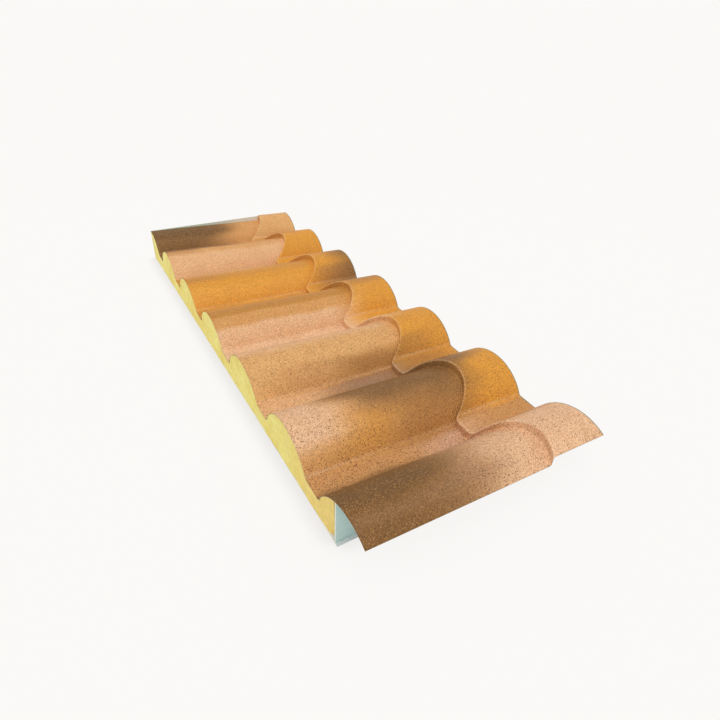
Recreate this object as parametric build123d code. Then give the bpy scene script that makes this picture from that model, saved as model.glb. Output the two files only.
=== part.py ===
from build123d import *

import math
import os

# Tile effect roof panel: a short cut of an insulated metal roof panel, lying on its flat underside.
# +X runs up the roof slope, along the barrels. +Y runs across the barrels, away from the lapping
# edge. +Z is up. The origin is on the floor, at the middle of the panel's bounding box.
# Every size is in millimetres.

# Panel in plan
cover_width = 1000.0  # width that one panel covers once its neighbour laps it
wave_count = 6  # barrels in one cover width
panel_length = 368.0  # along the slope
pitch = cover_width / wave_count

# Wave section, as it stands at the eave end
valley_height = 29.0  # floor to the lowest line of a channel
strip_width = 35.0  # the nearly flat channel between two barrels
strip_rise = 2.5  # the channel climbs this much towards the barrel on its +Y side
crest_height = 72.0  # floor to the top of a barrel
bend_radius = 5.0  # where a barrel meets a channel
skin_thickness = 0.6

# Tile step
step_height = 14.0
module_length = 350.0  # between two steps on a panel of full length
step_at_crest = 285.0  # eave end to the step, along a crest
step_lean = 1.13  # how far the step moves down the slope for each unit that the wave falls
tongue_radius = 14.0  # bend of the step, in plan, where it crosses a channel

# Long edges, each measured from the crest beside it
lap_past_crest = 40.0  # the skin's free edge is this far beyond the lapping crest
core_short_of_crest = 24.0  # the core stops this far short of the lapping crest
far_past_crest = 3.0  # skin and core end this far beyond the last crest

# Underside and the tape on each joint face
facing_thickness = 0.5
facing_lip = 5.0  # how far the lower facing shows beyond the tape on the lapping side
tape_thickness = 2.0

# Places along Y, counted from the channel beside the lapping barrel
lap_crest = -(pitch - strip_width) / 2
free_edge = lap_crest - lap_past_crest
core_near = lap_crest + core_short_of_crest
core_far = lap_crest + wave_count * pitch + far_past_crest
tape_near = core_near - tape_thickness
tape_far = core_far + tape_thickness
middle_x = panel_length / 2
middle_y = (free_edge + tape_far) / 2

# Working solids, which are larger than the panel all round and are trimmed last
overrun = 0.2 * panel_length  # past each end
depth = 2 * crest_height  # below the floor, and above it
tilt = math.degrees(math.asin(step_height / module_length))  # of each tile course
section_plane = Plane(origin=(-overrun, 0, 0), x_dir=(0, 1, 0), z_dir=(1, 0, 0))
plan_plane = Plane(origin=(0, 0, depth), x_dir=(0, 1, 0), z_dir=(0, 0, -1))


def wave_region(valley, rise, crest, bend):
    """Face under a run of barrels and channels, wider than the panel by a barrel on each side."""
    line = []
    for index in range(-2, wave_count + 2):
        foot = (index * pitch, valley)
        crease = (index * pitch + strip_width, valley + rise)
        next_foot = (index * pitch + pitch, valley)
        line.append(Line(foot, crease))
        line.append(SagittaArc(crease, next_foot, crest - valley - rise / 2))
    first = line[0] @ 0
    last = line[-1] @ 1
    line.append(Line(last, (last.X, -depth)))
    line.append(Line((last.X, -depth), (first.X, -depth)))
    line.append(Line((first.X, -depth), first))
    region = make_face(Wire(line))
    corners = [v for v in region.vertices() if first.X < v.X < last.X]
    return fillet(corners, bend).face()


def block(x_range, y_range, z_range):
    """Box between two limits on each axis."""
    sizes = [high - low for low, high in (x_range, y_range, z_range)]
    centre = [(high + low) / 2 for low, high in (x_range, y_range, z_range)]
    return Pos(*centre) * Box(*sizes)


def stepped_body(section, plan):
    """Two tile courses, the upper one a step higher, with the scalloped wall between them.

    The section is run along the barrels and tipped towards the ridge to make a course. The plan,
    seen from above, holds the ground that the lower course covers.
    """
    run = panel_length + 2 * overrun
    lower_course = Rotation(0, tilt, 0) * extrude(section_plane * section, amount=run)
    upper_course = Pos(0, 0, step_height) * lower_course
    lower_ground = extrude(plan_plane * plan, amount=2 * depth)
    body = (lower_course & lower_ground) + (upper_course - lower_ground)
    return body & block((0, panel_length), (free_edge, core_far), (0, depth))


def make_bodies():
    """The space under the skin's outer face, and the space under its inner face."""
    section = wave_region(valley_height, strip_rise, crest_height, bend_radius)
    tongue_tip = step_at_crest - step_lean * (crest_height - valley_height)
    plan = wave_region(tongue_tip, 0, step_at_crest, tongue_radius)
    inner_section = offset(section, -skin_thickness, kind=Kind.INTERSECTION).face()
    inner_plan = offset(plan, skin_thickness, kind=Kind.INTERSECTION).face()
    return stepped_body(section, plan), stepped_body(inner_section, inner_plan)


outer_body, inner_body = make_bodies()
full_length = (0, panel_length)
full_height = (facing_thickness, depth)

nodes = {
    "top_skin": outer_body - inner_body,
    "foam_core": inner_body & block(full_length, (core_near, core_far), full_height),
    "joint_tape_near": inner_body & block(full_length, (tape_near, core_near), full_height),
    "joint_tape_far": block(full_length, (core_far, tape_far), (facing_thickness, crest_height)),
    "bottom_facing": block(full_length, (tape_near - facing_lip, tape_far), (0, facing_thickness)),
}

os.makedirs("parts", exist_ok=True)
for name, shape in nodes.items():
    placed = Pos(-middle_x, -middle_y, 0) * shape
    print(name, len(placed.solids()), round(placed.volume), placed.bounding_box())
    export_step(placed, f"parts/{name}.step")
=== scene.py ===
import math

import bpy
import numpy as np
from mathutils import Matrix, Vector


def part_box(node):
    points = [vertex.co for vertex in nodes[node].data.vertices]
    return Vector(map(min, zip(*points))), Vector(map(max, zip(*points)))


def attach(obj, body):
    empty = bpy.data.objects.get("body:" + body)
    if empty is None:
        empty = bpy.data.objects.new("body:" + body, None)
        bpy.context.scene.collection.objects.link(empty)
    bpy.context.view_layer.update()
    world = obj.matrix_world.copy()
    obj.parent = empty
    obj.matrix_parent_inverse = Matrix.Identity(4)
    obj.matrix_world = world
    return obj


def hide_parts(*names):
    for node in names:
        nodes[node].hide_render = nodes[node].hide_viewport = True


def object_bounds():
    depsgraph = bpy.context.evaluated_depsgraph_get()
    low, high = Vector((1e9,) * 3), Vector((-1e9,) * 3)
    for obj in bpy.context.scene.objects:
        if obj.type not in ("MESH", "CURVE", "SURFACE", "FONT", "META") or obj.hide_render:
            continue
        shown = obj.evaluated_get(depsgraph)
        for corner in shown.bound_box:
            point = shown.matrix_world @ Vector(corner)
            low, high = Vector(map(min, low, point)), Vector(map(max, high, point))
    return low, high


# Tile effect roof panel, seen from above its near eave corner on a white studio floor.
# Every length is in metres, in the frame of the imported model: +X up the slope, +Y across
# the barrels, +Z up. Colours are written as screen values from 0 to 255.

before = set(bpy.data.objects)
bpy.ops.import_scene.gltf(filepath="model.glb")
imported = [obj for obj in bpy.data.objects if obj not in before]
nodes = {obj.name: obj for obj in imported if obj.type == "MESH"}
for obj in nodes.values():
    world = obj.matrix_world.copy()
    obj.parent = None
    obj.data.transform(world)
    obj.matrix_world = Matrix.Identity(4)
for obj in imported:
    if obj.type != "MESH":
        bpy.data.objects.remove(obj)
cad_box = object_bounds()

# Camera, as fitted to the photograph
IMAGE_SIZE = 720
FOCAL_PIXELS = 503.4
CENTRE_PIXEL = (346.6, 343.6)
CAMERA_PLACE = (-0.3664, -0.7899, 0.5020)
CAMERA_YAW = 0.5261
CAMERA_PITCH = 0.5488
CAMERA_ROLL = -0.0232
SENSOR = 36.0

# Panel, with the same driving sizes as its source
PITCH = 1.0 / 6
VALLEY_HEIGHT = 0.029
STRIP_WIDTH = 0.035
STRIP_RISE = 0.0025
CREST_HEIGHT = 0.072
BEND_RADIUS = 0.005
SKIN_THICKNESS = 0.0006
STEP_HEIGHT = 0.014
MODULE_LENGTH = 0.350
STEP_AT_CREST = 0.285
STEP_LEAN = 1.13
TONGUE_RADIUS = 0.014
BARRELS = range(-1, 6)

# Pressed bends of the tile step, which the source leaves to this file
LIP_RADIUS = 0.0032
FOOT_RADIUS = 0.0024

# Cells of the modelled surfaces
LOWER_CELLS = 44  # along the lower tile
UPPER_CELLS = 22  # along the upper tile
FOOT_CELLS = 5  # round the bend at the foot of the step
LIP_CELLS = 7  # round the bend at its lip
BEND_CELLS = 5  # round the bend between a strip and a barrel
ROW_GAP = 0.0045  # between two rows on a barrel or a strip, at most
END_CELLS = 14  # up the sawn ends of the foam
SLOPE_REACH = 0.0002  # to each side of a place, for the slope of a curve there
TOLERANCE = 1e-6

# Sawn ends of the foam
SAW_WAVE = 0.00025
RIM_DEPTH = 0.00015  # crumbled line under the sheet
RIM_HEIGHT = 0.004
NOTCH_DEPTH = 0.0015  # where the foam tears below a crease
NOTCH_WIDTH = 0.006
NOTCH_HEIGHT = 0.015
CHIP_DEPTH = 0.011  # lost corner beside the joint tape
CHIP_WIDTH = 0.016
CHIP_STRETCH = 1.6  # how much taller than wide the lost corner is
FOAM_GAP = 0.0002  # between the foam's rim and the sheet
SHARP_ANGLE = 35  # degrees, above which an edge of the foam is sharp

# Studio
BACKDROP = (251, 249, 247)
SKY_COLOUR = (0.95, 0.97, 1.0)
SKY_STRENGTH = 0.60
SUN_DIRECTION = (0.24, 0.32, -1.0)
SUN_STRENGTH = 1.5
SUN_SPREAD = 0.9
SUN_COLOUR = (1.0, 0.98, 0.95)
FLOOR_SIZE = 80
FADE_START = 0.7  # from the origin, where the floor begins to turn into the plain backdrop
FADE_END = 1.6
FLOOR_PLAIN = 0.94  # how much of the plain backdrop shows in the floor beside the panel
CONTACT_REACH = 0.034  # how far the soft rim of shade round the panel spreads on the floor
CONTACT_SHADE = 0.86  # what is left of the floor's colour where it meets the panel

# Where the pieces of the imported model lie
LOW, HIGH = (Vector(corner) for corner in cad_box)
LENGTH = HIGH.x - LOW.x
SKIN_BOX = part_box("top_skin")
FOAM_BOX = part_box("foam_core")
FREE_EDGE = SKIN_BOX[0][1]
FAR_EDGE = SKIN_BOX[1][1]
LAP_PAST_CREST = 0.040
FIRST_STRIP = FREE_EDGE + LAP_PAST_CREST + (PITCH - STRIP_WIDTH) / 2  # beside the lapping barrel
SLOPE = math.tan(math.asin(STEP_HEIGHT / MODULE_LENGTH))
STRETCH = math.sqrt(1 + SLOPE * SLOPE)


def linear(colours):
    """Linear colours for the shader from screen values of 0 to 255."""
    part = np.asarray(colours, dtype=float) / 255
    return np.where(part < 0.04045, part / 12.92, ((part + 0.055) / 1.055) ** 2.4)


class Scallop:
    """A run of round barrels and straight strips, joined by small round bends."""

    def __init__(self, strip_level, rise, crest_level, bend):
        self.level = strip_level
        self.rise = rise
        self.bend = bend
        left = np.array([STRIP_WIDTH, strip_level + rise])
        right = np.array([PITCH, strip_level])
        chord = right - left
        width = np.hypot(*chord)
        sagitta = crest_level - strip_level - rise / 2
        self.radius = (width * width / 4 + sagitta * sagitta) / (2 * sagitta)
        upward = np.array([-chord[1], chord[0]]) / width
        self.centre = (left + right) / 2 + upward * (sagitta - self.radius)
        along = np.array([STRIP_WIDTH, rise]) / np.hypot(STRIP_WIDTH, rise)
        self.left_bend, self.left_line, self.left_arc = self.round_corner(left, along, -1)
        self.right_bend, self.right_line, self.right_arc = self.round_corner(right, along, 1)

    def round_corner(self, corner, along, sense):
        """Centre of the bend at a corner, and where it leaves the strip and the barrel."""
        across = np.array([-along[1], along[0]])
        start = corner + self.bend * across - self.centre
        half = start @ (along * sense)
        gap = start @ start - (self.radius + self.bend) ** 2
        shift = -half + math.sqrt(half * half - gap)
        bend_centre = corner + shift * sense * along + self.bend * across
        on_line = corner + shift * sense * along
        ratio = self.radius / (self.radius + self.bend)
        return bend_centre, on_line, self.centre + (bend_centre - self.centre) * ratio

    def level_at(self, y):
        """Level of the line at each place, counted from the edge of the first strip."""
        t = np.mod(y, PITCH)
        level = self.level + self.rise * t / STRIP_WIDTH
        barrel = self.centre[1] + np.sqrt(np.maximum(self.radius**2 - (t - self.centre[0]) ** 2, 0))
        level = np.where((t >= self.left_arc[0]) & (t <= self.right_arc[0]), barrel, level)
        for start, end, centre, shift in (
            (self.left_line[0], self.left_arc[0], self.left_bend, 0),
            (self.right_arc[0], PITCH, self.right_bend, 0),
            (0, self.right_line[0] - PITCH, self.right_bend, PITCH),
        ):
            inside = (t > start) & (t < end)
            across = t + shift - centre[0]
            bend = centre[1] - np.sqrt(np.maximum(self.bend**2 - across**2, 0))
            level = np.where(inside, bend, level)
        return level

    def slope_at(self, y):
        """Slope of the line at each place."""
        rise = self.level_at(y + SLOPE_REACH) - self.level_at(y - SLOPE_REACH)
        return rise / (2 * SLOPE_REACH)

    def places(self, coarse):
        """Places across one pitch, close together on the bends."""
        first = math.atan2(*(self.left_arc - self.centre)[::-1])
        last = math.atan2(*(self.right_arc - self.centre)[::-1])
        angles = np.linspace(first, last, int(self.radius * (first - last) / coarse) + 2)
        on_barrel = self.centre[0] + self.radius * np.cos(angles)
        left = np.linspace(self.left_line[0], self.left_arc[0], BEND_CELLS + 1)[:-1]
        right = np.linspace(self.right_arc[0], self.right_line[0], BEND_CELLS + 1)[1:]
        steps = int(STRIP_WIDTH / coarse) + 2
        strip = np.linspace(self.right_line[0] - PITCH, self.left_line[0], steps)[1:-1]
        return np.concatenate([strip, left, on_barrel, right])


WAVE = Scallop(VALLEY_HEIGHT, STRIP_RISE, CREST_HEIGHT, BEND_RADIUS)
TONGUE_TIP = STEP_AT_CREST - STEP_LEAN * (CREST_HEIGHT - VALLEY_HEIGHT)
STEP_LINE = Scallop(TONGUE_TIP, 0, STEP_AT_CREST, TONGUE_RADIUS)


def rows_between(low, high, coarse):
    """Places across the panel from one edge to another, counted from the first strip."""
    places = np.concatenate([index * PITCH + WAVE.places(coarse) for index in BARRELS])
    inside = places[(places > low + coarse / 8) & (places < high - coarse / 8)]
    return np.unique(np.concatenate([[low], inside, [high]]))


def rounded_step(rows, lower_cells, upper_cells):
    """Points of the outer face: one row for each place across, running from eave to ridge."""
    wave = WAVE.level_at(rows)
    wall = STEP_LINE.level_at(rows)
    wave_slope = WAVE.slope_at(rows)
    wall_slope = STEP_LINE.slope_at(rows)
    run = np.sqrt(1 + wall_slope**2)
    steepest = 0.48 * STEP_HEIGHT / LIP_RADIUS  # which leaves room for the foot under the lip
    climb = np.minimum(np.sqrt(1 + wave_slope**2), steepest)
    foot_run, foot_climb = FOOT_RADIUS * run, FOOT_RADIUS * climb
    lip_run, lip_climb = LIP_RADIUS * run, LIP_RADIUS * climb
    columns = []
    for part in np.linspace(0, 1, lower_cells, endpoint=False):
        columns.append(((wall - foot_run) * part, np.zeros_like(rows)))
    for angle in np.linspace(0, math.pi / 2, FOOT_CELLS + 1):
        columns.append(
            (wall - foot_run * (1 - math.sin(angle)), foot_climb * (1 - math.cos(angle)))
        )
    for angle in np.linspace(0, math.pi / 2, LIP_CELLS + 1):
        columns.append(
            (wall + lip_run * (1 - math.cos(angle)), STEP_HEIGHT - lip_climb * (1 - math.sin(angle)))
        )
    start = wall + lip_run
    for part in np.linspace(0, 1, upper_cells + 1)[1:]:
        columns.append((start + (LENGTH - start) * part, np.full_like(rows, STEP_HEIGHT)))
    x = np.stack([column[0] for column in columns], axis=1)
    lift = np.stack([column[1] for column in columns], axis=1)
    z = wave[:, None] * STRETCH - x * SLOPE + lift
    y = np.repeat(rows[:, None], x.shape[1], axis=1)
    return np.stack([x + LOW.x, y + FIRST_STRIP, z], axis=-1)


def grid_normals(points):
    """Upward normals of a grid of points."""
    along = np.gradient(points, axis=1)
    across = np.gradient(points, axis=0)
    normals = np.cross(along, across)
    return normals / np.linalg.norm(normals, axis=-1, keepdims=True)


def quads(index):
    """Quads between the neighbours in a grid of point numbers."""
    corners = [index[:-1, :-1], index[:-1, 1:], index[1:, 1:], index[1:, :-1]]
    return np.stack(corners, axis=-1).reshape(-1, 4)


def grid_faces(rows, columns, first, flip):
    """Quads of a grid whose points start at a number, turned over if asked."""
    faces = quads(first + np.arange(rows * columns).reshape(rows, columns))
    return faces[:, ::-1] if flip else faces


def border_faces(rows, columns, first, second):
    """Quads that join the borders of two grids into one closed shell."""
    index = np.arange(rows * columns).reshape(rows, columns)
    loop = np.concatenate([index[0, :-1], index[:-1, -1], index[-1, :0:-1], index[:0:-1, 0]])
    following = np.roll(loop, -1)
    return np.stack([loop + first, loop + second, following + second, following + first], axis=-1)


def make_mesh(name, points, faces, material_indices, smooth, materials):
    """A mesh object from plain arrays, riding on the panel."""
    mesh = bpy.data.meshes.new(name)
    mesh.from_pydata(points.reshape(-1, 3).tolist(), [], faces)
    mesh.polygons.foreach_set("material_index", material_indices)
    mesh.polygons.foreach_set("use_smooth", smooth)
    for material in materials:
        mesh.materials.append(material)
    mesh.validate()
    piece = bpy.data.objects.new(name, mesh)
    bpy.context.collection.objects.link(piece)
    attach(piece, "root")
    return piece


# Sockets of the Mix node that hold colours
MIX_FIRST = 6
MIX_SECOND = 7
MIX_RESULT = 2


class Nodes:
    """Short calls for building a material's node tree."""

    def __init__(self, name):
        self.material = bpy.data.materials.new(name)
        self.material.use_nodes = True
        self.tree = self.material.node_tree
        self.shader = self.tree.nodes["Principled BSDF"]
        self.place = self.add("ShaderNodeTexCoord").outputs["Object"]

    def add(self, kind, **settings):
        node = self.tree.nodes.new(kind)
        for key, value in settings.items():
            setattr(node, key, value)
        return node

    def link(self, value, socket):
        if isinstance(value, bpy.types.NodeSocket):
            self.tree.links.new(value, socket)
        else:
            socket.default_value = value

    def noise(self, scale, detail=3.0, roughness=0.5):
        node = self.add("ShaderNodeTexNoise")
        self.link(self.place, node.inputs["Vector"])
        node.inputs["Scale"].default_value = scale
        node.inputs["Detail"].default_value = detail
        node.inputs["Roughness"].default_value = roughness
        return node.outputs["Fac"]

    def cells(self, scale):
        """Distance to the middle of each cell, and a random colour for it."""
        node = self.add("ShaderNodeTexVoronoi")
        self.link(self.place, node.inputs["Vector"])
        node.inputs["Scale"].default_value = scale
        return node.outputs["Distance"], node.outputs["Color"]

    def dots(self, scale, reach, ragged):
        """One inside dots of uneven size, with ragged rims."""
        distance, size = self.cells(scale)
        distance = self.math("ADD", distance, ragged)
        return self.math("LESS_THAN", distance, self.math("MULTIPLY", size, reach))

    def attribute(self, name, output):
        return self.add("ShaderNodeAttribute", attribute_name=name).outputs[output]

    def math(self, operation, first, second=0.0):
        node = self.add("ShaderNodeMath", operation=operation)
        self.link(first, node.inputs[0])
        self.link(second, node.inputs[1])
        return node.outputs[0]

    def ramp(self, value, low, high, start=0.0, end=1.0):
        """Smooth change from a start to an end while a value goes from low to high."""
        node = self.add("ShaderNodeMapRange", interpolation_type="SMOOTHSTEP")
        self.link(value, node.inputs["Value"])
        node.inputs["From Min"].default_value = low
        node.inputs["From Max"].default_value = high
        node.inputs["To Min"].default_value = start
        node.inputs["To Max"].default_value = end
        return node.outputs["Result"]

    def mix(self, factor, first, second, blend="MIX"):
        node = self.add("ShaderNodeMix", data_type="RGBA", blend_type=blend)
        self.link(factor, node.inputs[0])
        self.link(first, node.inputs[MIX_FIRST])
        self.link(second, node.inputs[MIX_SECOND])
        return node.outputs[MIX_RESULT]

    def axis(self, name):
        node = self.add("ShaderNodeSeparateXYZ")
        self.link(self.place, node.inputs[0])
        return node.outputs[name]

    def bump(self, height, distance, strength=1.0, below=None):
        node = self.add("ShaderNodeBump")
        self.link(height, node.inputs["Height"])
        node.inputs["Distance"].default_value = distance
        node.inputs["Strength"].default_value = strength
        if below is not None:
            self.link(below, node.inputs["Normal"])
        return node.outputs["Normal"]

    def finish(self, colour, roughness, normal=None):
        self.link(colour, self.shader.inputs["Base Color"])
        self.link(roughness, self.shader.inputs["Roughness"])
        if normal is not None:
            self.link(normal, self.shader.inputs["Normal"])
        return self.material


def solid(colour):
    """Opaque colour for a socket, from screen values."""
    return (*linear(colour).tolist(), 1.0)


# Colours of the paint's grain, as screen values
CLOUD_ORANGE = (206, 132, 70)
SPECK_BROWN = (112, 68, 44)
SPECK_SAND = (182, 138, 88)
SPECK_UMBER = (92, 64, 38)
BARE_RIM = (146, 146, 118)

# Grain of the paint, where a scale is about how many there are along a metre
CLOUDS = 30
PATCHES = 45
MOTTLE = 380
GRAIN = 1000
RAGGED_RIMS = 1500
DARK_DOTS = ((380, 0.85), (500, 0.80), (700, 0.75))  # scale and strength
DARK_DOT_REACH = 0.54  # how much of its cell a dot may fill
SAND_DOTS = (560, 0.62, 0.85, SPECK_SAND)  # scale, reach, strength and colour
UMBER_DOTS = (500, 0.66, 0.75, SPECK_UMBER)
GRAIN_DEPTH = 0.0003
BARE_RIM_WIDTH = 0.0012  # of the unpainted line along the ridge end
PRESS_LINE_GAP = 0.0038  # between the faint lines that the press leaves below the step
PRESS_LINE_DEPTH = 0.00028
PRESS_LINE_FADE = 0.004  # below the step, where they start to fade
PRESS_LINE_REACH = 0.050  # below the step, where they are gone

# Colours of the other surfaces, as screen values
DARK_GREEN = (60, 84, 62)
MOSS_GREEN = (84, 104, 76)
STAINED_STEEL = (176, 140, 92)
DULL_STEEL = (140, 130, 96)
FOAM_YELLOW = (246, 233, 140)
FOAM_GOLD = (240, 217, 114)
FOAM_SCORCH = (242, 206, 122)
FOAM_PIT = (176, 146, 66)
FACING_WHITE = (226, 229, 228)
FACING_GREY = (214, 218, 218)
BLUE_GREEN = (194, 220, 214)
PALE_GREEN = (212, 228, 204)
OFF_WHITE = (244, 243, 234)
TAPE_CORE = (238, 240, 228)

# Texture of the other surfaces
SCORCH_FADE = 0.02  # from the near joint face, where the foam's warm tint starts to fade
SCORCH_REACH = 0.16  # from the near joint face, where it is gone
CELL_DEPTH = 0.0006
TAPE_DEPTH = 0.0002
TAPE_END = 0.0002  # of the tape's cut end that shows its core
FACING_DEPTH = 0.0001


def granulated(paint, colour, grain):
    """The colour with its fine grain and a coarser mottle."""
    mottle = paint.noise(MOTTLE, 3, 0.7)
    colour = paint.mix(1.0, colour, paint.ramp(grain, 0.3, 0.7, 0.76, 1.18), "MULTIPLY")
    return paint.mix(1.0, colour, paint.ramp(mottle, 0.32, 0.68, 0.84, 1.15), "MULTIPLY")


def speckled(paint, colour, darkness):
    """The colour under dark dots, which thin out on the umber, and the umber's own two kinds."""
    ragged = paint.math("MULTIPLY", paint.noise(RAGGED_RIMS, 2, 0.6), 0.16)
    patchy = paint.ramp(paint.noise(PATCHES, 3, 0.6), 0.3, 0.6, 0.4, 1.0)
    amount = paint.math("MULTIPLY", paint.attribute("speckle", "Fac"), patchy)
    for scale, strength in DARK_DOTS:
        dot = paint.math("MULTIPLY", paint.dots(scale, DARK_DOT_REACH, ragged), amount)
        colour = paint.mix(paint.math("MULTIPLY", dot, strength), colour, solid(SPECK_BROWN))
    for scale, reach, strength, speck in (SAND_DOTS, UMBER_DOTS):
        share = paint.math("MULTIPLY", darkness, strength)
        dot = paint.math("MULTIPLY", paint.dots(scale, reach, ragged), share)
        colour = paint.mix(dot, colour, solid(speck))
    return colour


def pressed(paint, grain):
    """Normals of the grain, over the faint lines that the press leaves below the step."""
    below_step = paint.attribute("to_step", "Fac")
    rings = paint.math("MULTIPLY", below_step, 2 * math.pi / PRESS_LINE_GAP)
    fade = paint.ramp(below_step, PRESS_LINE_FADE, PRESS_LINE_REACH, 1.0, 0.0)
    rings = paint.math("MULTIPLY", paint.math("SINE", rings), fade)
    return paint.bump(grain, GRAIN_DEPTH, 0.5, paint.bump(rings, PRESS_LINE_DEPTH, 0.6))


def paint_material():
    """Matt granulated tile paint: the airbrushed colour, with painted light, lies on the mesh; grain
    is here.
    """
    paint = Nodes("tile_paint")
    colour = paint.attribute("airbrush_and_painted_light", "Color")
    darkness = paint.attribute("umber", "Fac")
    grain = paint.noise(GRAIN, 3, 0.7)
    cloud = paint.ramp(paint.noise(CLOUDS, 4, 0.6), 0.35, 0.7, 0.0, 0.16)
    cloud = paint.math("MULTIPLY", cloud, paint.math("SUBTRACT", 1.0, darkness))
    colour = paint.mix(cloud, colour, solid(CLOUD_ORANGE))
    colour = granulated(paint, colour, grain)
    colour = speckled(paint, colour, darkness)
    bare = paint.math("GREATER_THAN", paint.axis("X"), HIGH.x - BARE_RIM_WIDTH)
    colour = paint.mix(bare, colour, solid(BARE_RIM))
    paint.shader.inputs["Specular IOR Level"].default_value = 0.2
    return paint.finish(colour, paint.ramp(grain, 0.3, 0.7, 0.46, 0.62), pressed(paint, grain))


def back_coat_material():
    """Dark green primer on the underside of the sheet."""
    coat = Nodes("green_back_coat")
    cloud = coat.noise(60, 3)
    colour = coat.mix(coat.ramp(cloud, 0.3, 0.7), solid(DARK_GREEN), solid(MOSS_GREEN))
    return coat.finish(colour, coat.ramp(cloud, 0.3, 0.7, 0.45, 0.6))


def cut_edge_material():
    """Bare sheared edge of the sheet, dull and a little stained by the paint."""
    edge = Nodes("cut_edge")
    stain = edge.ramp(edge.noise(220, 3, 0.6), 0.3, 0.7)
    colour = edge.mix(stain, solid(STAINED_STEEL), solid(DULL_STEEL))
    return edge.finish(colour, edge.ramp(stain, 0.0, 1.0, 0.45, 0.6))


def foam_material():
    """Sawn polyurethane foam: yellow, with fine cells, and warmer towards the lapping edge."""
    foam = Nodes("sawn_foam")
    near_face = FOAM_BOX[0][1]
    cloud = foam.ramp(foam.noise(24, 4, 0.6), 0.35, 0.7)
    colour = foam.mix(cloud, solid(FOAM_YELLOW), solid(FOAM_GOLD))
    warm = foam.ramp(foam.axis("Y"), near_face + SCORCH_FADE, near_face + SCORCH_REACH, 0.6, 0.0)
    colour = foam.mix(warm, colour, solid(FOAM_SCORCH))
    mottle = foam.ramp(foam.noise(150, 4, 0.7), 0.3, 0.7, 0.90, 1.06)
    colour = foam.mix(1.0, colour, mottle, "MULTIPLY")
    distance = foam.cells(900)[0]
    pits = foam.math("MULTIPLY", foam.ramp(distance, 0.0, 0.5, 1.0, 0.0), 0.22)
    colour = foam.mix(pits, colour, solid(FOAM_PIT))
    height = foam.math("ADD", foam.math("MULTIPLY", distance, 0.6), foam.noise(500, 3))
    return foam.finish(colour, 0.85, foam.bump(height, CELL_DEPTH, 0.6))


def tape_material(name, eave_face, ridge_face):
    """Pale joint tape, a little soiled, and whitish where it was cut through at the ends."""
    tape = Nodes(name)
    along = tape.axis("X")
    face = tape.mix(tape.ramp(along, LOW.x, HIGH.x), solid(eave_face), solid(ridge_face))
    soiled = tape.ramp(tape.noise(110, 4, 0.65), 0.3, 0.75, 1.0, 0.92)
    colour = tape.mix(1.0, face, soiled, "MULTIPLY")
    cut_end = tape.math("GREATER_THAN", tape.math("ABSOLUTE", along), LENGTH / 2 - TAPE_END)
    colour = tape.mix(cut_end, colour, solid(TAPE_CORE))
    return tape.finish(colour, 0.6, tape.bump(tape.noise(600, 2), TAPE_DEPTH, 0.4))


def facing_material():
    """Off-white coated steel of the lower facing."""
    facing = Nodes("white_facing")
    cloud = facing.ramp(facing.noise(30, 3), 0.3, 0.7)
    colour = facing.mix(cloud, solid(FACING_WHITE), solid(FACING_GREY))
    return facing.finish(colour, 0.4, facing.bump(facing.noise(700, 2), FACING_DEPTH, 0.2))


# Paints of the airbrush, as screen values
PINK = (238, 191, 149)
ROSE_TAN = (234, 184, 135)
SAND = (227, 174, 112)
TAN = (218, 160, 98)
GOLD = (238, 168, 70)
CLAY = (204, 149, 92)
ORANGE = (226, 156, 58)
OCHRE = (209, 144, 60)
COPPER = (203, 137, 66)
BRONZE = (196, 135, 61)
BROWN = (173, 119, 61)
RUSSET = (140, 90, 34)
MAUVE = (163, 126, 95)
ASH_ROSE = (214, 168, 140)
UMBER = (131, 92, 49)
DARK_UMBER = (114, 81, 44)
# Pale paint of the lines along the creases and of the painted highlight along the lip of the step
PALE_LINE_AND_HIGHLIGHT = (244, 206, 168)

# Ground paint of each barrel from the lapping edge on: its strip, its lower and its upper tile
GROUND = (
    (PINK, PINK, PINK),
    (CLAY, TAN, ORANGE),
    (TAN, SAND, ORANGE),
    (PINK, OCHRE, ORANGE),
    (OCHRE, ORANGE, ORANGE),
    (OCHRE, ROSE_TAN, ORANGE),
    (OCHRE, TAN, SAND),
)

# How strongly each barrel is speckled: its lower and its upper tile
SPECKLE = (
    (0.9, 0.8),
    (1.0, 0.8),
    (0.8, 0.7),
    (0.55, 0.5),
    (0.4, 0.5),
    (0.3, 0.4),
    (0.25, 0.35),
)
UMBER_HIDES = 0.6  # share of the speckles that the darkest umber hides
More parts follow.
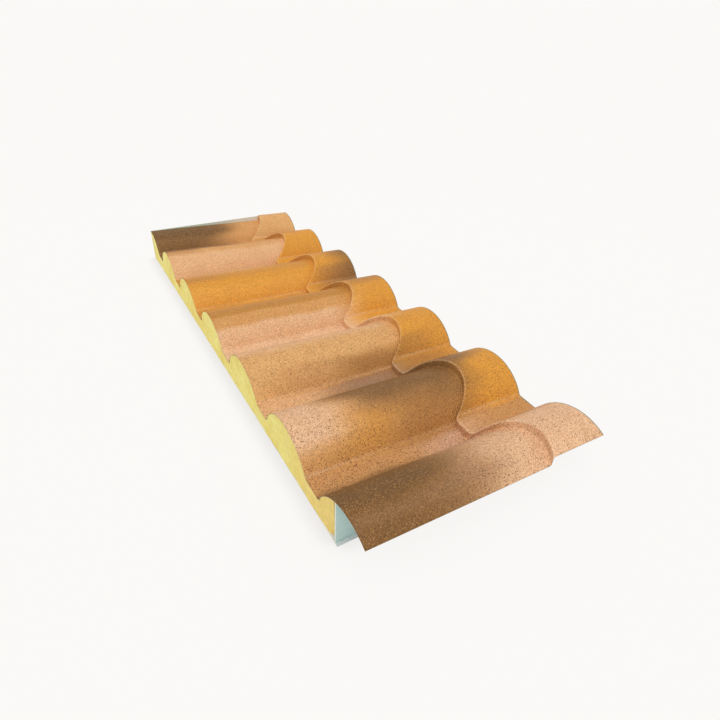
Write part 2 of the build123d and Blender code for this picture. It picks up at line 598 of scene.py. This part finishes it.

# Passes of the airbrush in millimetres: barrel, from and to up the slope, from and to across,
# counted from the edge of the barrel's strip, blur across, paint and strength
# The passes hold the tile's paint and also painted shading: the brightness of the crests against the
# flanks is partly painted light.
PASSES = (
    (0, -200, 204, 30, 167, 20, UMBER, 0.32),
    (0, -200, 160, 30, 167, 20, UMBER, 0.7),
    (0, -200, 110, 30, 167, 20, UMBER, 1.0),
    (0, -200, 130, 106, 170, 24, DARK_UMBER, 0.7),
    # Painted sheen highlight: a paler streak along the crest of the lapping barrel
    (0, -200, 200, 78, 94, 14, MAUVE, 0.35),
    (0, 260, 500, 142, 180, 30, TAN, 0.5),
    (1, 175, 300, -20, 33, 10, ASH_ROSE, 0.8),
    (1, 262, 500, -20, 33, 10, CLAY, 0.9),
    (1, 60, 150, 36, 82, 24, OCHRE, 0.7),
    (1, 145, 268, 30, 86, 24, BROWN, 0.9),
    # Pink at the eave end of the second barrel: partly its paint, partly a painted sheen highlight
    # on its crest
    (1, -200, 74, 56, 172, 24, PINK, 1.0),
    (1, 116, 290, 84, 170, 46, UMBER, 1.0),
    (1, 88, 335, 112, 170, 26, UMBER, 0.9),
    (1, 226, 290, 60, 130, 22, UMBER, 0.6),
    (2, -200, 120, 3, 33, 8, ROSE_TAN, 0.8),
    (2, 115, 262, -6, 33, 8, MAUVE, 1.0),
    (2, 255, 330, 0, 62, 16, BRONZE, 0.8),
    (2, 250, 335, -6, 33, 8, BROWN, 0.5),
    (2, 40, 150, 36, 66, 16, CLAY, 0.6),
    (2, 150, 262, 33, 58, 18, BROWN, 0.85),
    (2, -200, 290, 110, 168, 24, ROSE_TAN, 1.0),
    (3, -200, 272, -4, 64, 10, PINK, 0.9),
    (3, -200, 285, 62, 88, 10, TAN, 0.9),
    (3, -200, 285, 88, 112, 10, BRONZE, 1.0),
    (3, 270, 500, 96, 170, 24, BRONZE, 0.9),
    (3, 264, 500, 116, 170, 24, BROWN, 0.8),
    (4, -200, 262, 33, 66, 16, GOLD, 0.7),
    (4, -200, 285, 84, 170, 18, OCHRE, 0.6),
    (4, -200, 70, 84, 112, 16, BRONZE, 0.7),
    (4, -200, 190, 108, 168, 20, TAN, 0.8),
    (4, 205, 310, 108, 168, 20, COPPER, 0.6),
    (4, 280, 430, 16, 62, 20, BROWN, 0.9),
    (4, 338, 500, 10, 170, 24, UMBER, 0.9),
    (5, -200, 90, 86, 114, 14, CLAY, 1.0),
    (5, 70, 275, 82, 112, 18, TAN, 0.9),
    (5, -200, 330, 104, 168, 14, COPPER, 0.9),
    (5, -200, 165, 106, 168, 12, RUSSET, 1.0),
    (6, 236, 345, -10, 33, 10, BRONZE, 0.8),
    (6, -200, 176, -10, 60, 20, UMBER, 0.5),
    (6, -200, 124, -10, 60, 20, UMBER, 1.0),
    (6, -200, 200, 62, 170, 20, UMBER, 1.0),
    (6, -200, 155, 58, 104, 20, DARK_UMBER, 1.0),
)
BLUR_ALONG = 0.090  # of each pass, up and down the slope
STRIP_BLUR = 0.006  # of the ground paint, where a strip meets its barrel
STEP_BLUR = 0.002  # of the ground paint, at the step

# Unsteady hand of the airbrush: size, waves along and across the panel, and shift
SWAY_ALONG = ((0.007, 9, 47, 0.0), (0.004, -31, 113, 1.3))
SWAY_ACROSS = ((0.0012, 41, 17, 0.0), (0.0008, 97, 0, 2.1))

# Pale lines along the creases, and the painted highlight along the lip of the step
PALE_LINE_WIDTH = 0.0012
CREASE_SHIFT = 0.001  # from a corner of the wave to the pale line on its bend
CREASE_PALENESS = 0.32
CREASE_PALENESS_CHANGE = 0.12  # how much the paleness comes and goes along a crease
FAR_CREASE_SHARE = 0.7  # paleness on the crease past a barrel, as a share of the one before it
# Strength of the painted highlight along the lip of the step
LIP_HIGHLIGHT = 0.42

# Added to the distance from the step on the upper tile, which has no press lines
OUT_OF_REACH = 0.1


def band(value, start, end, blur):
    """One between two limits, falling smoothly to nothing across a blurred edge."""
    rise = np.clip((value - start) / blur + 0.5, 0, 1)
    fall = np.clip((end - value) / blur + 0.5, 0, 1)
    part = rise * fall
    return part * part * (3 - 2 * part)


def sway(waves, x, y):
    """Sum of long waves over the panel."""
    return sum(size * np.sin(along * x + across * y + shift) for size, along, across, shift in waves)


def barrel_at(y):
    """Number of the barrel, from the lapping one on, to which a point or its strip belongs."""
    return np.clip(np.floor(y / PITCH).astype(int) + 1, 0, len(GROUND) - 1)


def airbrush_and_painted_light(x, y):
    """Paint, in screen values, at points counted from the eave and the first strip; partly painted
    shading and sheen.
    """
    index = barrel_at(y)
    paints = np.array(GROUND, dtype=float)
    across = y - (index - 1) * PITCH
    past_step = x - STEP_LINE.level_at(y)
    on_barrel = band(across, STRIP_WIDTH, PITCH, STRIP_BLUR)[:, None]
    below = paints[index, 0] * (1 - on_barrel) + paints[index, 1] * on_barrel
    above = band(past_step, 0, LENGTH, STEP_BLUR)[:, None]
    colour = below * (1 - above) + paints[index, 2] * above
    swayed_x = x + sway(SWAY_ALONG, x, y)
    swayed_y = y + sway(SWAY_ACROSS, x, y)
    for barrel, start, end, near, far, blur, paint, strength in PASSES:
        along = band(swayed_x, start / 1000, end / 1000, BLUR_ALONG)
        past_strip = swayed_y - (barrel - 1) * PITCH
        beside = band(past_strip, near / 1000, far / 1000, blur / 1000)
        share = (along * beside * strength)[:, None]
        colour = colour * (1 - share) + np.array(paint) * share
    return colour


def pale_line(distance):
    """One on a line, falling to nothing beside it."""
    return np.exp(-((distance / PALE_LINE_WIDTH) ** 2))


def pale_line_and_highlight_share(x, y):
    """How pale the paint turns along the creases, and how strong the painted highlight is along the
    lip of the step.
    """
    across = np.mod(y, PITCH) - CREASE_SHIFT
    crease = pale_line(across - STRIP_WIDTH) + FAR_CREASE_SHARE * pale_line(across)
    crease *= CREASE_PALENESS + CREASE_PALENESS_CHANGE * np.sin(23 * x + 40 * y)
    # Painted highlight along the rounded lip of the step
    lip = pale_line(x - STEP_LINE.level_at(y) - LIP_RADIUS / 2)
    return np.clip(crease + LIP_HIGHLIGHT * lip, 0, 1)


def store(mesh, name, values, count):
    """Keeps one number, or one colour, for each point of the outer face."""
    if values.ndim == 2:
        layer = mesh.attributes.new(name, "FLOAT_COLOR", "POINT")
        full = np.ones((len(mesh.vertices), 4), dtype=np.float32)
        full[:count, :3] = values
        layer.data.foreach_set("color", full.ravel())
    else:
        layer = mesh.attributes.new(name, "FLOAT", "POINT")
        full = np.zeros(len(mesh.vertices), dtype=np.float32)
        full[:count] = values
        layer.data.foreach_set("value", full)


def paint_the_mesh(mesh, outer):
    """Stores the airbrushed colour, with its painted shading, sheen and lip highlight, and what the
    paint's nodes need, on the sheet.
    """
    x = outer[..., 0].ravel() - LOW.x
    y = outer[..., 1].ravel() - FIRST_STRIP
    past_step = x - STEP_LINE.level_at(y)
    above = past_step > 0
    colour = airbrush_and_painted_light(x, y)
    dark, pale = np.mean(DARK_UMBER), np.mean(CLAY)
    depth = np.clip((pale - colour.mean(axis=1)) / (pale - dark), 0, 1)
    # Pale crease lines and the painted lip highlight, mixed into the stored colour
    pale_lines_and_highlight = pale_line_and_highlight_share(x, y)[:, None]
    speckle = np.array(SPECKLE)[barrel_at(y), above.astype(int)] * (1 - UMBER_HIDES * depth)
    store(mesh, "airbrush_and_painted_light", linear(colour * (1 - pale_lines_and_highlight) + np.array(PALE_LINE_AND_HIGHLIGHT) * pale_lines_and_highlight), x.size)
    store(mesh, "speckle", speckle, x.size)
    store(mesh, "umber", depth, x.size)
    store(mesh, "to_step", np.abs(past_step) + OUT_OF_REACH * above, x.size)


def make_skin():
    """The pressed sheet: outer face, inner face and the cut edges between them."""
    rows = rows_between(FREE_EDGE - FIRST_STRIP, FAR_EDGE - FIRST_STRIP, ROW_GAP)
    rows = np.unique(np.append(rows, FOAM_BOX[0][1] - FIRST_STRIP))
    outer = rounded_step(rows, LOWER_CELLS, UPPER_CELLS)
    inner = outer - SKIN_THICKNESS * grid_normals(outer)
    inner[:, 0, 0] = outer[:, 0, 0]
    inner[:, -1, 0] = outer[:, -1, 0]
    inner[0, :, 1] = outer[0, :, 1]
    inner[-1, :, 1] = outer[-1, :, 1]
    count_rows, count_columns = outer.shape[:2]
    count = count_rows * count_columns
    top = grid_faces(count_rows, count_columns, 0, False)
    under = grid_faces(count_rows, count_columns, count, True)
    rim = border_faces(count_rows, count_columns, 0, count)
    faces = np.concatenate([top, under, rim])
    slots = np.repeat([0, 1, 2], [len(top), len(under), len(rim)])
    smooth = np.concatenate([np.ones(len(top) + len(under)), np.zeros(len(rim))]).astype(bool)
    points = np.concatenate([outer.reshape(-1, 3), inner.reshape(-1, 3)])
    skin = make_mesh(
        "tile_skin",
        points,
        faces.tolist(),
        slots,
        smooth,
        [paint_material(), back_coat_material(), cut_edge_material()],
    )
    paint_the_mesh(skin.data, outer)
    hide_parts("top_skin")
    return inner


def sawn_inset(y, level, height):
    """How far the sawn end lies behind the cut line: saw waves, a crumbled rim, torn creases and
    a lost corner."""
    near_skin = np.clip(1 - (height - level) / RIM_HEIGHT, 0, 1) ** 2
    waves = SAW_WAVE * (2 + np.sin(83 * y + 60 * level) + np.sin(214 * y - 95 * level + 0.8))
    rim = RIM_DEPTH * (1 + 0.35 * np.sin(390 * y) + 0.25 * np.sin(911 * y))
    crease = np.mod(y - FIRST_STRIP + PITCH / 2, PITCH) - PITCH / 2
    tear = np.hypot(crease / NOTCH_WIDTH, (height - level) / NOTCH_HEIGHT)
    notch = NOTCH_DEPTH * np.clip(1 - tear, 0, 1)
    corner = np.hypot(y - FOAM_BOX[0][1], (level - FOAM_BOX[0][2]) / CHIP_STRETCH)
    chip = CHIP_DEPTH * np.clip(1 - corner / CHIP_WIDTH, 0, 1) ** 1.3
    return waves * (1 - near_skin) + rim * near_skin + notch + chip


def make_foam(inner):
    """The foam core under the sheet, with both ends as the saw left them."""
    near_face, base = FOAM_BOX[0][1:]
    inside = inner[:, 0, 1] > near_face - TOLERANCE
    step_columns = np.arange(LOWER_CELLS, inner.shape[1] - UPPER_CELLS)
    columns = np.concatenate([[0, LOWER_CELLS // 2], step_columns, [inner.shape[1] - 1]])
    top = inner[inside][:, columns]
    y = top[:, 0, 1]
    ends = []
    for column, inward in ((0, 1), (-1, -1)):
        crown = top[:, column, 2] - FOAM_GAP
        level = base + (crown - base)[:, None] * np.linspace(0, 1, END_CELLS + 1)
        inset = sawn_inset(y[:, None], level, crown[:, None])
        x = top[:, column, 0][:, None] + inward * inset
        ends.append(np.stack([x, np.repeat(y[:, None], END_CELLS + 1, axis=1), level], axis=-1))
    loops = np.concatenate([ends[0], top[:, 1:-1], ends[1][:, ::-1]], axis=1)
    count_rows, count_loop = loops.shape[:2]
    index = np.arange(count_rows * count_loop).reshape(count_rows, count_loop)
    index = np.concatenate([index, index[:, :1]], axis=1)
    faces = quads(index).tolist()
    faces += [index[0, -2::-1].tolist(), index[-1, :-1].tolist()]
    foam = make_mesh(
        "sawn_foam_core", loops, faces, [0] * len(faces), [True] * len(faces), [foam_material()]
    )
    foam.data.set_sharp_from_angle(angle=math.radians(SHARP_ANGLE))
    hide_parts("foam_core")


def dress(node, material):
    """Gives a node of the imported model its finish."""
    piece = nodes[node]
    piece.data.materials.clear()
    piece.data.materials.append(material)


def make_camera():
    """The camera at the photograph's viewpoint."""
    data = bpy.data.cameras.new("camera")
    data.sensor_width = SENSOR
    data.lens = FOCAL_PIXELS / IMAGE_SIZE * SENSOR
    data.shift_x = (IMAGE_SIZE / 2 - CENTRE_PIXEL[0]) / IMAGE_SIZE
    data.shift_y = (CENTRE_PIXEL[1] - IMAGE_SIZE / 2) / IMAGE_SIZE
    forward = Vector(
        (
            math.sin(CAMERA_YAW) * math.cos(CAMERA_PITCH),
            math.cos(CAMERA_YAW) * math.cos(CAMERA_PITCH),
            -math.sin(CAMERA_PITCH),
        )
    )
    level = Vector((math.cos(CAMERA_YAW), -math.sin(CAMERA_YAW), 0))
    steep = forward.cross(level)
    right = math.cos(CAMERA_ROLL) * level + math.sin(CAMERA_ROLL) * steep
    down = -math.sin(CAMERA_ROLL) * level + math.cos(CAMERA_ROLL) * steep
    turn = Matrix((right, -down, -forward)).transposed()
    camera = bpy.data.objects.new("camera", data)
    camera.matrix_world = Matrix.Translation(CAMERA_PLACE) @ turn.to_4x4()
    bpy.context.collection.objects.link(camera)
    bpy.context.scene.camera = camera


def flat_backdrop(tree):
    """One for the rays of the camera, of a mirror or of glass, which see the plain backdrop."""
    path = tree.nodes.new("ShaderNodeLightPath")
    seen = path.outputs["Is Camera Ray"]
    for name in ("Is Glossy Ray", "Is Transmission Ray"):
        either = tree.nodes.new("ShaderNodeMath")
        either.operation = "MAXIMUM"
        tree.links.new(seen, either.inputs[0])
        tree.links.new(path.outputs[name], either.inputs[1])
        seen = either.outputs[0]
    return seen


def make_floor():
    """A white floor that keeps a little of the panel's real shadow, with a painted soft shadow in
    its glow, and fades into the backdrop.
    """
    bpy.ops.mesh.primitive_plane_add(size=FLOOR_SIZE)
    floor = bpy.context.object
    floor.name = "floor"
    white = Nodes("floor_white")
    white.finish(solid(BACKDROP), 0.95)
    distance = white.add("ShaderNodeVectorMath", operation="LENGTH")
    white.link(white.place, distance.inputs[0])
    plain = white.ramp(distance.outputs["Value"], FADE_START, FADE_END, FLOOR_PLAIN, 1.0)
    plain = white.math("MULTIPLY", plain, flat_backdrop(white.tree))
    # Painted shadow: ambient occlusion darkens the floor's glow in a soft rim round the panel
    covered = white.add("ShaderNodeAmbientOcclusion")
    covered.inputs["Distance"].default_value = CONTACT_REACH
    rim = white.ramp(covered.outputs["AO"], 0.5, 1.0, CONTACT_SHADE, 1.0)
    glow = white.add("ShaderNodeEmission")
    white.link(white.mix(1.0, solid(BACKDROP), rim, "MULTIPLY"), glow.inputs["Color"])
    choose = white.add("ShaderNodeMixShader")
    white.link(plain, choose.inputs[0])
    white.link(white.shader.outputs[0], choose.inputs[1])
    white.link(glow.outputs[0], choose.inputs[2])
    white.link(choose.outputs[0], white.tree.nodes["Material Output"].inputs["Surface"])
    floor.data.materials.append(white.material)


def make_sun():
    """A distant soft lamp."""
    data = bpy.data.lights.new("key", "SUN")
    data.energy = SUN_STRENGTH
    data.angle = SUN_SPREAD
    data.color = SUN_COLOUR
    lamp = bpy.data.objects.new("key", data)
    lamp.rotation_euler = Vector(SUN_DIRECTION).to_track_quat("-Z", "Y").to_euler()
    bpy.context.collection.objects.link(lamp)


def make_world():
    """Even pale light from all round, and the photograph's warm white behind the panel."""
    world = bpy.data.worlds.new("studio")
    world.use_nodes = True
    tree = world.node_tree
    lit = tree.nodes["Background"]
    lit.inputs["Color"].default_value = (*SKY_COLOUR, 1)
    lit.inputs["Strength"].default_value = SKY_STRENGTH
    seen = tree.nodes.new("ShaderNodeBackground")
    seen.inputs["Color"].default_value = solid(BACKDROP)
    seen.inputs["Strength"].default_value = 1.0
    choose = tree.nodes.new("ShaderNodeMixShader")
    tree.links.new(flat_backdrop(tree), choose.inputs[0])
    tree.links.new(lit.outputs[0], choose.inputs[1])
    tree.links.new(seen.outputs[0], choose.inputs[2])
    tree.links.new(choose.outputs[0], tree.nodes["World Output"].inputs["Surface"])
    bpy.context.scene.world = world


make_camera()
make_floor()
make_world()
make_sun()
make_foam(make_skin())
dress("joint_tape_near", tape_material("tape_near", BLUE_GREEN, BLUE_GREEN))
dress("joint_tape_far", tape_material("tape_far", PALE_GREEN, OFF_WHITE))
dress("bottom_facing", facing_material())
bpy.context.scene.view_settings.view_transform = "Standard"
